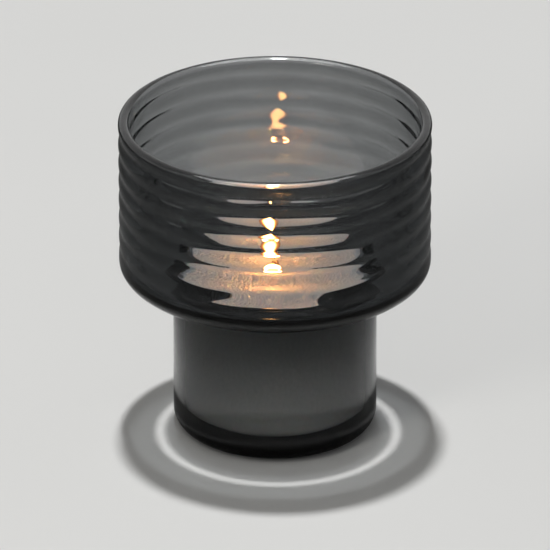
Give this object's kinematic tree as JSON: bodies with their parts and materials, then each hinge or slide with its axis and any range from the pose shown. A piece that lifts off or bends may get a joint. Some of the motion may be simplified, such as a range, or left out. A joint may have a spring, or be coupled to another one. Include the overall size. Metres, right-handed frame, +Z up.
{
  "type": "candle vessel",
  "caption": "Smoked glass candle holder: narrow smooth foot, wide ribbed cup, granulated wax fill and one wick.",
  "frame": {"origin": "middle of the flat underside of the foot", "axes": "+Z up along the vessel's axis; the vessel is round, so X and Y are free"},
  "size_m": [0.12, 0.12, 0.128],
  "materials": {
    "smoked_glass": "fire-polished, clear smoked grey",
    "wax": "granulated white paraffin wax",
    "wick_cotton": "waxed braided cotton with a charred tip"
  },
  "bodies": {
    "vessel": {"glass_vessel": "smoked_glass", "wax_fill": "wax"},
    "wick": {"wick": "wick_cotton"}
  },
  "joints": [
    {"name": "wick_pull", "type": "slide", "parent": "vessel", "child": "wick", "axis": [0, 0, 1], "range_m": [0, 0.12]}
  ]
}
